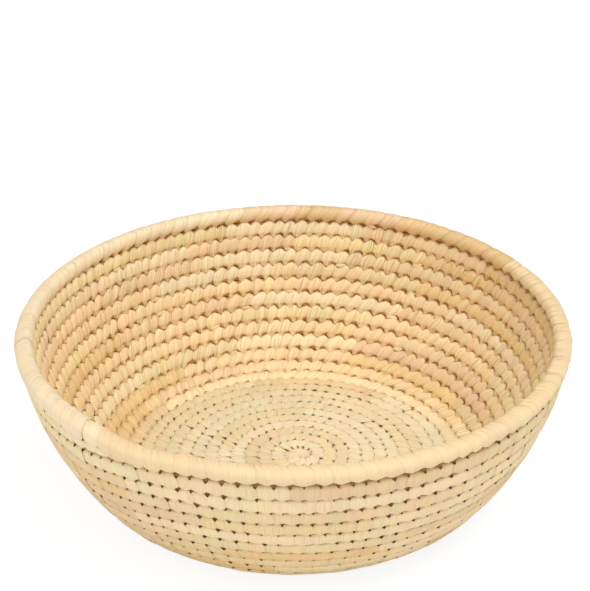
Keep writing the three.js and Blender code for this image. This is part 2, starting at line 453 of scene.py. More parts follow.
@dataclass
class Sewing:
    """Lays out the stitches along the coil, one after the other, as the maker sews them."""

    shape: CoilShape
    start_width: float = 4.2 * MM
    base_width: float = 5.6 * MM
    side_width: float = 6.9 * MM
    rim_width: float = 8.6 * MM
    start_widening: Span = (5 * MM, 30 * MM)
    side_widening: Span = (40 * MM, 110 * MM)
    flat_end: Span = (70 * MM, 100 * MM)
    start_gap: float = 0.3
    side_slope: float = 0.32
    base_slope: float = 0.30
    rim_slope: float = 0.62
    slope_spread: float = 0.14
    slope_memory: float = 0.6
    rim_slope_evenness: float = 0.6
    unevenness: float = 0.20
    crown_spread: float = 0.3
    lift_spread: float = 0.16 * MM
    rim_lift_evenness: float = 0.4
    foot_spread: float = 0.32
    nudge_share: float = 0.5
    nudge_limit: float = 0.14
    flat_nudge_loss: float = 0.9
    foot_limit: float = 0.35
    flat_foot_loss: float = 0.4
    pattern_seeds: float = 100
    spoke_turns: Span = (0.7, 1.1)
    right_widening: float = 0.14
    front_angle: float = math.radians(318)
    front_bulge: float = 1.2
    back_angle: float = math.radians(65)
    back_bulge: float = 0.8
    lap_step: float = 18.67
    lap_height: float = 0.5 * MM
    lap_rise: Span = (-1.5, -0.2)
    seed: int = 11

    def stitches(self) -> list[Stitch]:
        """Makes all the stitches.

        Returns:
            The stitches in their order, from the middle of the base to the rim.
        """
        dice = random.Random(self.seed)
        shape = self.shape
        turn = shape.steps_per_turn
        closing = turn - shape.climb_steps
        made: list[Stitch] = []
        valleys = Valleys(turn)
        lean = 0.0
        step = shape.first_step + self.start_gap
        while step < shape.close_step:
            row = shape.row(step)
            length = shape.step_length(step)
            rim = ease(step, -shape.climb_steps, -shape.climb_steps / 3)
            flat = 1 - ease(row.distance, *self.flat_end)
            width = self.width(row.distance, rim) * (1 + self.right_widening * self.near(step, 0.0))
            slope = between(between(self.side_slope, self.base_slope, flat), self.rim_slope, rim)
            reach = slope * row.half_height
            level = 1 - self.rim_lift_evenness * rim
            foot = 0.0
            target = step + reach / length
            valley = valleys.under(target) if rim < ON_RIM else None
            if valley is not None:
                nudge, foot = self.pulled((valley - target) * length, width, flat)
                step += nudge / length
            size = width * (1 + spread(dice, self.unevenness))
            lean = self.slope_memory * lean + spread(dice, self.slope_spread)
            made.append(Stitch(
                step=step,
                width=size,
                foot=foot,
                slope=slope + lean * (1 - self.rim_slope_evenness * rim),
                crown=1 + spread(dice, self.crown_spread),
                lift=spread(dice, self.lift_spread * level) + self.lap_lift(step),
                waist=1 + spread(dice, self.foot_spread),
                bulge=self.bulge(step),
                rim=rim,
                flat=flat,
                spoke=1 - ease((step - shape.first_step) / turn, *self.spoke_turns),
                closing=ease(step, closing - 1, closing + 1),
                seed=dice.uniform(0, self.pattern_seeds),
            ))
            valleys.steps.append(step + (size / 2 - reach) / length)
            step += size / length
        return made

    def pulled(self, pull: float, width: float, flat: float) -> tuple[float, float]:
        """Shares a pull to a valley between the whole stitch and its foot.

        Args:
            pull: how far the foot would have to go along the coil.
            width: the stitch's usual width.
            flat: 1 on the base and 0 on the wall.

        Returns:
            How far the stitch moves, and how far its foot is pulled as well.
        """
        limit = self.nudge_limit * width
        nudge = clamp(self.nudge_share * pull, -limit, limit) * (1 - self.flat_nudge_loss * flat)
        limit = self.foot_limit * width
        return nudge, clamp(pull - nudge, -limit, limit) * (1 - self.flat_foot_loss * flat)

    def lap_lift(self, step: float) -> float:
        """Gives how far a stitch lies over those after it, near the end of the rim.

        Args:
            step: the place on the coil.

        Returns:
            The lift, which is nothing past the lap.
        """
        if step > self.lap_step:
            return 0.0
        return self.lap_height * ease(step - self.lap_step, *self.lap_rise)

    def near(self, step: float, angle: float) -> float:
        """Gives how near a step lies to an angle: 1 at it, and 0 a quarter turn and more away."""
        return max(math.cos(self.shape.angle(step) - angle), 0.0)

    def bulge(self, step: float) -> float:
        """Gives how round a stitch would stand on the rim: more at its front and back."""
        front = self.front_bulge * self.near(step, self.front_angle)
        return 1 + front + self.back_bulge * self.near(step, self.back_angle)

    def width(self, distance: float, rim: float) -> float:
        """Gives the usual width of a stitch: small round the start, widest on the rim.

        Args:
            distance: how far along the wall outline it lies.
            rim: 1 on the rim and 0 on the wall.

        Returns:
            The width.
        """
        width = between(self.start_width, self.base_width, ease(distance, *self.start_widening))
        width += (self.side_width - self.base_width) * ease(distance, *self.side_widening)
        return between(width, self.rim_width, rim)


@dataclass
class Spot:
    """A place on a stitch's ring of leaf.

    Attributes:
        column: place across the leaf, from -1 to 1 along the coil.
        turn: angle round the row: 0 on the inside, a quarter turn at the top.
        edge: 0 in the middle of the leaf and 1 at either edge.
        sine: the turn's sine.
        cosine: the turn's cosine.
        inner: 1 on the inside of the basket and 0 outside.
        up: how far the place lies towards the next row.
        down: how far it lies towards the row below.
    """

    column: float
    turn: float

    def __post_init__(self) -> None:
        """Works out the place's sides and edges."""
        self.edge = abs(self.column)
        self.sine, self.cosine = math.sin(self.turn), math.cos(self.turn)
        self.inner = ease(self.cosine, *SIDE_CHANGE)
        self.up, self.down = max(self.sine, 0.0), max(-self.sine, 0.0)

    def by_side(self, outside: float) -> float:
        """Gives a factor of 1 on the inside of the basket and another one outside."""
        return outside + (1 - outside) * self.inner


@dataclass
class LeafLoop:
    """The shape of a single stitch: a ring of leaf, crowned across its width.

    A square is the power of a section's sines: 1 is round, and less is squarer, as pressed rows are.
    """

    shape: CoilShape
    around: int = 18
    foot_turn: float = math.radians(-62)
    crowding: float = 0.42
    columns: tuple[float, ...] = (-1.0, -0.6, 0.0, 0.6, 1.0)
    face_square: float = 0.58
    flat_square: float = 0.27
    back_square: float = 0.42
    rim_square: float = 0.92
    push_square: float = 0.5
    overlap: float = 1.38
    rim_overlap: float = 1.24
    row_lap: float = 0.15 * MM
    flat_lap: float = 0.25 * MM
    start_drop: float = 0.75 * MM
    end_drop: float = 0.22 * MM
    edge_lap: float = 0.40 * MM
    edge_power: float = 2.4
    back_share: float = 0.22
    flat_share: float = 0.75
    rim_share: float = 0.60
    top_valley: float = 0.40 * MM
    top_valley_span: Span = (0.5, 1.0)
    foot_valley: float = 0.85 * MM
    foot_valley_span: Span = (0.4, 0.95)
    foot_narrowing: float = 0.56
    foot_start: float = 0.30
    top_narrowing: float = 0.48
    top_start: float = 0.4
    narrowing_end: float = 1.1
    most_narrowing: float = 0.9
    rim_foot_fullness: float = 0.4
    bulge_narrowing: float = 0.25
    closing_span: Span = (0.0, 0.3)
    spoke_narrowing: float = 0.55
    spoke_gap: float = 0.8 * MM
    foot_drop: float = 1.9 * MM
    foot_reach: float = 1.5 * MM
    foot_bend: float = 1.5
    tuck_span: Span = (0.70, 0.98)
    tuck_edge_loss: float = 0.45
    lobe_rise: float = 1.0 * MM
    lobe_reach: float = 1.0 * MM
    lobe_span: Span = (0.6, 0.95)
    back_slope: float = 0.04
    rim_back_slope: float = 0.15

    def template(self) -> bpy.types.Mesh:
        """Makes the ring once, on plain coordinates: x is the column, y the turn round the row.

        Returns:
            A mesh whose vertices hold column and turn, closed round and along its inner side.
        """
        bm = bmesh.new()
        column = bm.verts.layers.float.new("column")
        turn = bm.verts.layers.float.new("turn")
        made = bmesh.ops.create_circle(bm, segments=self.around, radius=1.0)
        for vertex in made["verts"]:
            vertex[column] = self.columns[0]
            even = math.atan2(vertex.co.y, vertex.co.x)
            vertex[turn] = even - self.crowding * math.sin(even - self.foot_turn)
        first = list(bm.edges)
        ring = first
        for value in self.columns[1:]:
            pushed = bmesh.ops.extrude_edge_only(bm, edges=ring)["geom"]
            for vertex in (g for g in pushed if isinstance(g, bmesh.types.BMVert)):
                vertex[column] = value
                vertex.co.z = value - self.columns[0]
            ring = [g for g in pushed if isinstance(g, bmesh.types.BMEdge) and self.on_ring(g, column)]
        bmesh.ops.bridge_loops(bm, edges=first + ring)
        for edge in first + ring:
            edge.smooth = False
        return mesh_from(bm, "stitch_template")

    @staticmethod
    def on_ring(edge: bmesh.types.BMEdge, column: bmesh.types.BMLayerItem) -> bool:
        """Tells whether an edge runs round the row and not across it."""
        return abs(edge.verts[0][column] - edge.verts[1][column]) < 1e-6

    def point(self, stitch: Stitch, spot: Spot) -> Vector:
        """Places one corner of a stitch.

        Args:
            stitch: the stitch.
            spot: the place on its ring.

        Returns:
            The point.
        """
        row = self.shape.wrapped(stitch.step)
        square = self.square(stitch, spot)
        lap = self.row_lap + self.flat_lap * stitch.flat
        raised = power(spot.sine, square) * (row.half_height + self.shape.row_gap / 2 + lap)
        shrink = 1 - (self.drop(stitch, spot) * stitch.crown - stitch.lift) / row.half_thickness
        tuck = ease(spot.down, *self.tuck_span) * stitch.less(rim=0.5)
        tuck *= 1 - self.tuck_edge_loss * spot.edge ** 2
        lobe = ease(spot.up, *self.lobe_span) * stitch.less(rim=1) * (1 - spot.edge ** 2)
        foot_drop = self.foot_drop * stitch.less(flat=0.2)
        if stitch.spoke > 0:
            foot_drop = between(foot_drop, self.shape.seam(stitch.step) - self.spoke_gap, stitch.spoke)
        along = raised * shrink - foot_drop * tuck
        along += self.lobe_rise * spot.by_side(outside=0.2) * lobe * (2 - stitch.waist)
        pushed = (self.foot_reach * tuck + self.lobe_reach * lobe) * stitch.less(flat=0.6)
        inward = power(spot.cosine, square) * row.half_thickness * shrink
        inward += pushed * spot.by_side(outside=0.5) * power(spot.cosine, self.push_square)
        back_slope = between(self.back_slope, self.rim_back_slope, stitch.rim)
        slope = between(stitch.slope, back_slope, 1 - spot.inner)
        offset = spot.column * self.width_share(stitch, spot, square) * stitch.width / 2
        offset += stitch.foot * spot.down ** self.foot_bend - slope * raised
        step = stitch.step + offset / self.shape.step_length(stitch.step)
        return self.shape.place(self.shape.wrapped(step), step, along, inward)

    def square(self, stitch: Stitch, spot: Spot) -> float:
        """Gives how round or square the leaf goes round the row.

        Args:
            stitch: the stitch.
            spot: the place on its ring.

        Returns:
            The power of the section's sines.
        """
        square = between(self.face_square, self.flat_square, stitch.flat)
        square = between(self.back_square, square, spot.inner)
        round_part = stitch.rim * (1 - stitch.closing * ease(spot.down, *self.closing_span))
        return between(square, self.rim_square, round_part)

    def drop(self, stitch: Stitch, spot: Spot) -> float:
        """Gives how far the leaf lies below the stitch's crown.

        The start edge turns down steeply over the stitch before, and the rest slopes gently to the end
        edge, which the next stitch covers.

        Args:
            stitch: the stitch.
            spot: the place on its ring.

        Returns:
            The depth.
        """
        share = spot.by_side(outside=self.back_share) * stitch.less(flat=1 - self.flat_share)
        share = between(share, self.rim_share * stitch.bulge, stitch.rim)
        falling = spot.edge ** self.edge_power
        wall = (self.start_drop if spot.column < 0 else self.end_drop) * falling
        wall += self.edge_lap * (1 + spot.column) / 2
        ends = self.top_valley * ease(spot.up, *self.top_valley_span) * stitch.less(rim=1)
        ends += self.foot_valley * ease(spot.down, *self.foot_valley_span) * stitch.less(rim=0.4)
        return wall * share + ends * falling * stitch.less(flat=0.3) * spot.by_side(outside=0.55)

    def width_share(self, stitch: Stitch, spot: Spot, square: float) -> float:
        """Gives the leaf's width at a place for each millimetre of its stitch's room on the coil.

        Args:
            stitch: the stitch.
            spot: the place on its ring.
            square: how round or square the section is there.

        Returns:
            The share: more than 1 at the middle, because stitches overlap, and less at foot and top.
        """
        on_rim = self.bulge_narrowing * stitch.bulge - self.rim_foot_fullness
        foot = self.foot_narrowing * (1 + on_rim * stitch.rim)
        foot *= 1 + (stitch.waist - 1) * spot.by_side(outside=0.5)
        foot = between(foot, self.spoke_narrowing, stitch.spoke)
        foot = min(foot * spot.by_side(outside=1.3), self.most_narrowing)
        foot_start = self.foot_start * stitch.less(rim=0.8)
        share = 1 - foot * ease(spot.down ** square, foot_start, self.narrowing_end)
        top = self.top_narrowing * stitch.less(rim=1)
        share -= top * ease(spot.up ** square, self.top_start, self.narrowing_end)
        return share * between(self.overlap, self.rim_overlap, stitch.rim)


@dataclass(frozen=True)
class CreaseShade:
    """Painted shade on a stitch: how deep a place lies in the creases round it and how far it is turned
    from the light, where the leaf's colour is darkened and browned.
    """

    edge: float = 0.08
    rim_edge: float = 0.2
    edge_span: Span = (0.7, 1.0)
    start: float = 0.30
    start_span: Span = (0.4, 0.9)
    lower: float = 0.12
    lower_span: Span = (0.1, 0.6)
    foot: float = 0.18
    flat_foot_loss: float = 0.1
    foot_corner: float = 0.62
    foot_span: Span = (0.6, 1.0)
    top: float = 0.15
    top_span: Span = (0.85, 1.0)
    back: float = 0.14

    def depth(self, stitch: Stitch, spot: Spot) -> float:
        """Adds up the painted shade at a place: at its edges, at the step of its start edge, on its
        lower half, at its foot, at its top and on the basket's outside.

        Args:
            stitch: the stitch.
            spot: the place on its ring.

        Returns:
            The depth, from 0 to 1.
        """
        edge = self.edge + self.rim_edge * stitch.rim * stitch.bulge
        edge *= ease(spot.edge, *self.edge_span) * spot.by_side(outside=0.3)
        start = self.start * ease(-spot.column, *self.start_span) * spot.inner
        lower = self.lower * ease(spot.down, *self.lower_span) * spot.by_side(outside=0.3)
        foot = self.foot - self.flat_foot_loss * stitch.flat + self.foot_corner * spot.edge ** 2
        foot *= ease(spot.down, *self.foot_span) * spot.by_side(outside=0.55)
        top = self.top * ease(spot.up, *self.top_span)
        back = self.back * (1 - spot.inner)
        wall = start * stitch.less(flat=0.5) + back
        return clamp(edge + wall * stitch.less(rim=1) + lower * stitch.less(flat=0.6) + foot + top)


class Nodes:
    """Short ways to build one node material round its shader."""

    def __init__(self, name: str) -> None:
        """Starts a material with only its shader and output.

        Args:
            name: the material's name.
        """
        self.finished = bpy.data.materials.new(name)
        self.finished.use_nodes = True
        self.tree = self.finished.node_tree
        self.shader = self.tree.nodes["Principled BSDF"]

    def add(self, kind: str, **settings: object) -> bpy.types.Node:
        """Adds a node.

        Args:
            kind: Blender's name for the kind of node.
            **settings: the node's properties.

        Returns:
            The node.
        """
        node = self.tree.nodes.new(kind)
        for name, value in settings.items():
            setattr(node, name, value)
        return node

    def feed(self, source: Socket | Colour | float, target: Socket) -> None:
        """Joins a socket to another, or sets it to a fixed colour or number.

        Args:
            source: where the value comes from, or the value.
            target: the socket that takes it.
        """
        if isinstance(source, Socket):
            self.tree.links.new(source, target)
        elif isinstance(source, tuple):
            target.default_value = (*source, 1.0)
        else:
            target.default_value = source

    def attribute(self, name: str) -> bpy.types.Node:
        """Reads one of the layers that a weave paints on its points."""
        return self.add("ShaderNodeAttribute", attribute_name=name)

    def drawn_out(self, stretch: float) -> Socket:
        """Gives the place on the leaf or the grass, drawn out along the strip.

        Args:
            stretch: the pattern's scale along the strip, next to 1 across it.

        Returns:
            The place, for a pattern's vector.
        """
        mapping = self.add("ShaderNodeMapping")
        mapping.inputs["Scale"].default_value = (1.0, stretch, 1.0)
        self.feed(self.attribute("leaf_place").outputs["Vector"], mapping.inputs["Vector"])
        return mapping.outputs["Vector"]

    def noise(self, vector: Socket, scale: float, detail: float = 2.0) -> Socket:
        """Adds a noise texture.

        Args:
            vector: the place that it reads.
            scale: how fine it is.
            detail: how many finer layers it has.

        Returns:
            Its value, from 0 to 1.
        """
        node = self.add("ShaderNodeTexNoise")
        self.feed(vector, node.inputs["Vector"])
        self.feed(scale, node.inputs["Scale"])
        self.feed(detail, node.inputs["Detail"])
        return node.outputs["Fac"]

    def band(self, value: Socket, span: Span, strength: float = 1.0) -> Socket:
        """Turns a pattern into marks: nothing below the span, and full strength above it.

        Args:
            value: the pattern.
            span: where the marks begin and where they are full.
            strength: their strength.

        Returns:
            The strength of the mark at each place.
        """
        node = self.add("ShaderNodeMapRange")
        self.feed(value, node.inputs["Value"])
        self.feed(span[0], node.inputs["From Min"])
        self.feed(span[1], node.inputs["From Max"])
        self.feed(strength, node.inputs["To Max"])
        return node.outputs["Result"]

    def times(self, value: Socket, factor: Socket | float, plus: float = 0.0) -> Socket:
        """Multiplies a value by another and adds a number.

        Args:
            value: the value.
            factor: a second value or a fixed number.
            plus: the number to add.

        Returns:
            The result.
        """
        node = self.add("ShaderNodeMath", operation="MULTIPLY_ADD")
        self.feed(value, node.inputs[0])
        self.feed(factor, node.inputs[1])
        self.feed(plus, node.inputs[2])
        return node.outputs["Value"]

    def mix(
        self,
        factor: Socket | float,
        first: Socket | Colour,
        second: Socket | Colour,
        blend: str = "MIX",
    ) -> Socket:
        """Mixes two colours.

        Args:
            factor: how much of the second shows.
            first: a socket or a fixed colour.
            second: a socket or a fixed colour.
            blend: Blender's name for the way of mixing.

        Returns:
            The mixed colour.
        """
        node = self.add("ShaderNodeMix", data_type="RGBA", blend_type=blend)
        self.feed(factor, node.inputs["Factor"])
        self.feed(first, node.inputs[6])
        self.feed(second, node.inputs[7])
        return node.outputs[2]

    def varied(self, colour: Socket, value: Socket, contrast: float) -> Socket:
        """Makes a colour lighter and darker by a value round one half.

        Args:
            colour: the colour to vary.
            value: the pattern, from 0 to 1.
            contrast: how far the pattern takes the colour each way.

        Returns:
            The varied colour.
        """
        node = self.add("ShaderNodeVectorMath", operation="SCALE")
        self.feed(colour, node.inputs[0])
        self.feed(self.times(value, 2 * contrast, plus=1 - contrast), node.inputs["Scale"])
        return node.outputs["Vector"]

    def surface(self, colour: Socket | Colour, roughness: float, specular: float = 0.5) -> None:
        """Sets the shader's colour and shine.

        Args:
            colour: a socket or a fixed colour.
            roughness: 0 for a mirror and 1 for chalk.
            specular: the strength of the shine.
        """
        self.feed(colour, self.shader.inputs["Base Color"])
        self.feed(roughness, self.shader.inputs["Roughness"])
        self.feed(specular, self.shader.inputs["Specular IOR Level"])

    def bump(self, height: Socket, distance: float) -> None:
        """Gives the shader a relief.

        Args:
            height: the pattern, from 0 to 1.
            distance: how high it stands.
        """
        node = self.add("ShaderNodeBump")
        self.feed(1.0, node.inputs["Strength"])
        self.feed(distance, node.inputs["Distance"])
        self.feed(height, node.inputs["Height"])
        self.feed(node.outputs["Normal"], self.shader.inputs["Normal"])


@dataclass(frozen=True)
class LeafFinish:
    """Dried palm leaf: fine ribs along each strip, a soft shine, and painted brown shade in the
    creases.
    """

    rib_scale: float = 1.5
    rib_stretch: float = 0.06
    rib_detail: float = 3.0
    rib_contrast: float = 0.32
    rib_height: float = 0.22 * MM
    vein_scale: float = 2.1
    vein_stretch: float = 0.03
    vein_colour: Colour = linear("#a88a5a")
    vein_band: Span = (0.57, 0.64)
    vein_depth: float = 0.45
    blotch_scale: float = 60.0
    blotch_contrast: float = 0.07
    tint_scale: float = 190.0
    tint_band: Span = (0.38, 0.62)
    warm_tint: Colour = (1.0, 0.965, 0.93)
    cool_tint: Colour = (0.985, 0.995, 0.91)
    # Painted shade: the brown that the leaf is multiplied towards in the creases, and how strongly.
    crease_shade_colour: Colour = linear("#b98343")
    crease_shade_depth: float = 0.6
    roughness: float = 0.5
    specular: float = 0.3

    def material(self) -> bpy.types.Material:
        """Builds the leaf material, which reads each strip's tone and place from its mesh.

        Returns:
            The material.
        """
        nodes = Nodes("palm_leaf")
        tone = nodes.attribute("leaf_tone")
        ribbing = tone.outputs["Alpha"]
        place = nodes.add("ShaderNodeTexCoord").outputs["Object"]
        ribs = nodes.noise(nodes.drawn_out(self.rib_stretch), self.rib_scale, self.rib_detail)
        veins = nodes.noise(nodes.drawn_out(self.vein_stretch), self.vein_scale)
        blotches = nodes.noise(place, self.blotch_scale)
        patches = nodes.noise(place, self.tint_scale)
        ribbed = nodes.varied(tone.outputs["Color"], ribs, self.rib_contrast)
        faded = nodes.mix(ribbing, tone.outputs["Color"], ribbed)
        blotched = nodes.varied(faded, blotches, self.blotch_contrast)
        tint = nodes.mix(nodes.band(patches, self.tint_band), self.warm_tint, self.cool_tint)
        tinted = nodes.mix(1.0, blotched, tint, blend="MULTIPLY")
        vein = nodes.times(nodes.band(veins, self.vein_band, self.vein_depth), ribbing)
        veined = nodes.mix(vein, tinted, self.vein_colour, blend="MULTIPLY")
        # Painted shade: the leaf's colour is multiplied towards brown where the layer says it lies in
        # shade.
        depth = nodes.times(nodes.attribute("crease_shade").outputs["Fac"], self.crease_shade_depth)
        shaded = nodes.mix(depth, veined, self.crease_shade_colour, blend="MULTIPLY")
        nodes.surface(shaded, self.roughness, self.specular)
        nodes.bump(ribs, self.rib_height)
        return nodes.finished


@dataclass(frozen=True)
class GrassFinish:
    """The dry grass of the bundle, seen dark between the stitches."""

    colour: Colour = linear("#d2a064")
    dark_colour: Colour = linear("#a87844")
    blade_scale: float = 3.0
    blade_stretch: float = 0.06
    blade_detail: float = 3.0
    blade_height: float = 0.2 * MM
    roughness: float = 0.85

    def material(self) -> bpy.types.Material:
        """Builds the grass material, with blades that run along the bundle.

        Returns:
            The material.
        """
        nodes = Nodes("dry_grass")
        blades = nodes.noise(nodes.drawn_out(self.blade_stretch), self.blade_scale, self.blade_detail)
        nodes.surface(nodes.mix(blades, self.dark_colour, self.colour), self.roughness)
        nodes.bump(blades, self.blade_height)
        return nodes.finished


@dataclass
class Weave:
    """A mesh in the making, with each point's tone, place on the leaf and the depth of painted shade in
    the creases.
    """

    name: str
    bm: bmesh.types.BMesh = field(default_factory=bmesh.new)

    def __post_init__(self) -> None:
        """Adds the layers that the finishes read, and those that shape a stitch."""
        layers = self.bm.verts.layers
        self.tone = layers.float_color.new("leaf_tone")
        self.leaf = layers.float_vector.new("leaf_place")
        # Painted shade in the creases, which darkens the leaf's colour.
        self.crease_shade = layers.float.new("crease_shade")
        self.column = layers.float.new("column")
        self.turn = layers.float.new("turn")

    def add_mesh(self, mesh: bpy.types.Mesh) -> list[bmesh.types.BMVert]:
        """Adds a copy of a mesh.

        Args:
            mesh: the mesh to copy.

        Returns:
            The copy's vertices.
        """
        before = len(self.bm.verts)
        self.bm.from_mesh(mesh)
        self.bm.verts.ensure_lookup_table()
        return self.bm.verts[before:]

    def paint(
        self,
        vertex: bmesh.types.BMVert,
        tone: Colour,
        place: Vector,
        crease_shade: float,
        ribbing: float = 1.0,
    ) -> None:
        """Sets what the finishes read at one vertex.

        Args:
            vertex: the vertex.
            tone: its colour.
            place: its place across and along the strip in mm, and the strip's seed.
            crease_shade: how much painted shade darkens it in the creases, from 0 to 1.
            ribbing: how strongly the leaf's ribs and veins show.
        """
        vertex[self.tone] = (*tone, ribbing)
        vertex[self.leaf] = place
        vertex[self.crease_shade] = crease_shade

    def finished(self, material: bpy.types.Material, node: str, slot: str) -> bpy.types.Object:
        """Turns the mesh into a smooth piece with its faces outwards, in the place of its node.

        Args:
            material: the finish of all its faces.
            node: the node that it replaces.
            slot: the record's material slot for it; not used.

        Returns:
            The new piece, in the scene.
        """
        bmesh.ops.recalc_face_normals(self.bm, faces=self.bm.faces)
        for face in self.bm.faces:
            face.smooth = True
        mesh = mesh_from(self.bm, self.name)
        mesh.materials.append(material)
        piece = add_object(self.name, mesh)
        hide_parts(node)
        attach(piece, BODY)
        return piece


@dataclass
class FoundationCoil:
    """The bundle of grass inside the rows, one length from the middle of the base to the rim."""

    shape: CoilShape
    finish: GrassFinish = field(default_factory=GrassFinish)
    sides: int = 10
    rings_per_turn: int = 60
    cover: float = 1.35 * MM
    seam: float = 0.26 * MM
    squareness: float = 0.7
    start_gap: float = 0.2
    setback: float = 20 * MM
    pattern_radius: float = 3.5 * MM
    shade: float = 0.5

    def build(self) -> bpy.types.Object:
        """Extrudes the bundle's ring of points along the whole spiral.

        Returns:
            The finished bundle.
        """
        weave = Weave("grass_bundle")
        bm = weave.bm
        ring = bmesh.ops.create_circle(bm, cap_ends=True, segments=self.sides, radius=1.0)["verts"]
        for vertex in ring:
            vertex[weave.turn] = math.atan2(vertex.co.y, vertex.co.x)
        edges = list(bm.edges)
        start = self.shape.first_step + self.start_gap
        end = self.shape.last_step - self.setback / self.shape.step_length(self.shape.last_step)
        count = round((end - start) / self.shape.steps_per_turn * self.rings_per_turn)
        run = 0.0
        for i in range(count + 1):
            step = start + (end - start) * i / count
            if i:
                pushed = bmesh.ops.extrude_edge_only(bm, edges=edges)["geom"]
                ring = [g for g in pushed if isinstance(g, bmesh.types.BMVert)]
                edges = [g for g in pushed if isinstance(g, bmesh.types.BMEdge) and g.is_boundary]
                run += self.shape.step_length(step) * (end - start) / count
            self.set_ring(weave, ring, step, run)
        bmesh.ops.holes_fill(bm, edges=edges, sides=0)
        return weave.finished(self.finish.material(), "foundation_coil", "grass_bundle")

    def set_ring(self, weave: Weave, ring: list[bmesh.types.BMVert], step: float, run: float) -> None:
        """Puts one ring of the bundle in its row.

        Args:
            weave: the bundle's mesh.
            ring: the ring's vertices.
            step: the place on the coil.
            run: the length of coil up to there.
        """
        row = self.shape.row(step)
        rim = ease(step, -self.shape.climb_steps, 0)
        square = between(self.squareness, 1, rim)
        for vertex in ring:
            turn = vertex[weave.turn]
            top_cover = self.cover * rim * (math.sin(turn) > 0)
            along = power(math.sin(turn), square) * (row.half_height + self.seam - top_cover)
            inward = power(math.cos(turn), square) * (row.half_thickness - self.cover)
            vertex.co = self.shape.place(row, step, along, inward)
            place = Vector((turn * self.pattern_radius / MM, run / MM, 0))
            weave.paint(vertex, self.finish.colour, place, self.shade)


@dataclass
class StartKnot:
    """The folded start in the middle of the base: a small button under crossing leaf."""

    shape: CoilShape
    leaf: bpy.types.Material
    segments: int = 28
    rings: int = 12
    folds: int = 7
    fold_twist: float = 2.5
    fold_depth: float = 0.55 * MM
    fold_shade: float = 0.35
    crown: float = 0.4 * MM
    face_square: float = 0.7
    edge_square: float = 0.8
    pattern_radius: float = 3 * MM
    seed: int = 3

    def build(self) -> bpy.types.Object:
        """Presses a ball into a button whose edge follows the first turn.

        Returns:
            The finished button.
        """
        weave = Weave("knot_button")
        made = bmesh.ops.create_uvsphere(
            weave.bm, u_segments=self.segments, v_segments=self.rings, radius=1.0)["verts"]
        first = self.shape.angle(self.shape.first_step)
        for vertex in made:
            turn = (math.atan2(vertex.co.y, vertex.co.x) - first) % math.tau
            step = self.shape.first_step + turn / math.tau * self.shape.steps_per_turn
            reach = math.hypot(vertex.co.x, vertex.co.y)
            radius = self.shape.seam(step) * power(reach, self.edge_square)
            groove = (1 + math.cos(self.folds * turn + self.fold_twist * reach)) / 2 * reach
            height = self.shape.wall_thickness / 2 * (1 + power(vertex.co.z, self.face_square))
            if vertex.co.z > 0:
                height += self.crown - self.fold_depth * groove
            vertex.co = Vector((*self.shape.plan(radius, step), max(height, 0.0)))
            place = Vector((turn * self.pattern_radius / MM, radius / MM, self.seed))
            # Painted shade darkens the grooves between the folds.
            weave.paint(vertex, TONE_COLOURS[Tone.CREAM], place, self.fold_shade * groove)
        return weave.finished(self.leaf, "start_knot", Tone.STRAW.value)


